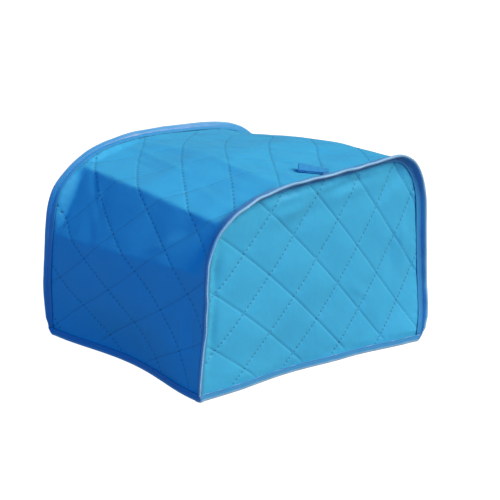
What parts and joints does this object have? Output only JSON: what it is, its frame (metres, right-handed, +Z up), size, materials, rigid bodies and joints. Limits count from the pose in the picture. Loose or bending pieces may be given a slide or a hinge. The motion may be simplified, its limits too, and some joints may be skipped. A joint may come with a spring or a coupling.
{
  "type": "toaster cover",
  "caption": "Quilted cloth cover that drops over a toaster: flat front and back, one strip over the sides and top, bound seams and hem, small folded tab.",
  "frame": {"origin": "on the table under the middle of the cover's bounding box", "axes": "+X along the wide front panel to its right as seen from the front, -Y out of the front panel, +Z up"},
  "size_m": [0.3196, 0.219, 0.2013],
  "materials": {
    "quilted_cloth": "satin weave polyester, quilted",
    "binding_tape": "folded bias tape, slightly shiny"
  },
  "bodies": {
    "root": {"front_panel": "quilted_cloth", "back_panel": "quilted_cloth", "gusset": "quilted_cloth", "front_seam_binding": "binding_tape", "back_seam_binding": "binding_tape", "hem_binding": "binding_tape", "top_tab": "binding_tape"}
  },
  "joints": []
}
